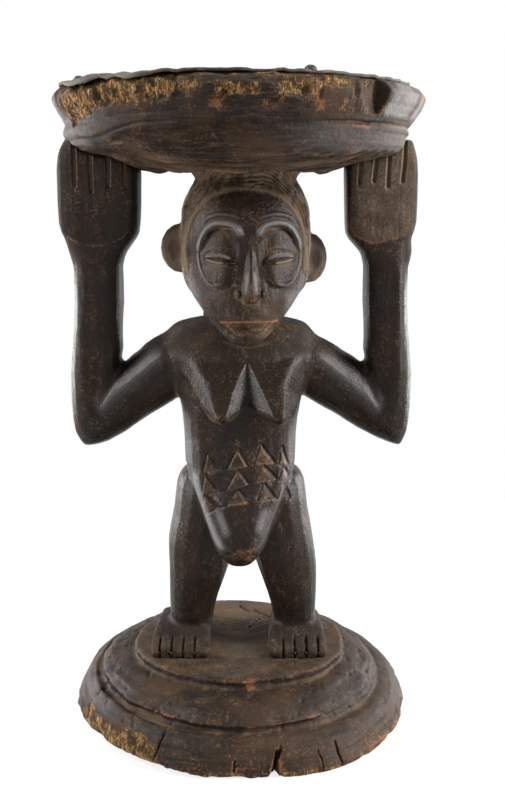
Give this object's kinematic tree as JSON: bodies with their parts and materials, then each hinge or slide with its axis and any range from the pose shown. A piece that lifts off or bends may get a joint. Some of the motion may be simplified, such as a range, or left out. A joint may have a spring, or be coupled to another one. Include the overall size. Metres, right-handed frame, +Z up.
{
  "type": "caryatid stool",
  "caption": "Carved wooden stool: a standing figure on a stepped round base bears a round seat on its head and raised palms; a tacked hide covers the seat.",
  "frame": {"origin": "on the floor under the middle of the seat and base", "axes": "+Z up, the figure looks along -Y, +X is the figure's own left"},
  "size_m": [0.294, 0.294, 0.5236],
  "materials": {
    "figure_wood": "dark oiled patina, satin",
    "seat_wood": "worn, dry, bare along the rim",
    "base_wood": "dusty, worn, matt",
    "hide": "dried hide, matt",
    "tack_metal": "tarnished dark"
  },
  "bodies": {
    "root": {"base": "base_wood", "seat": "seat_wood", "hide_cover": "hide", "torso": "figure_wood", "neck": "figure_wood", "head": "figure_wood", "right_upper_arm": "figure_wood", "right_forearm": "figure_wood", "right_hand": "figure_wood", "right_leg": "figure_wood", "right_foot": "figure_wood", "left_upper_arm": "figure_wood", "left_forearm": "figure_wood", "left_hand": "figure_wood", "left_leg": "figure_wood", "left_foot": "figure_wood", "tack_1": "tack_metal", "tack_2": "tack_metal", "tack_3": "tack_metal", "tack_4": "tack_metal"}
  },
  "joints": []
}
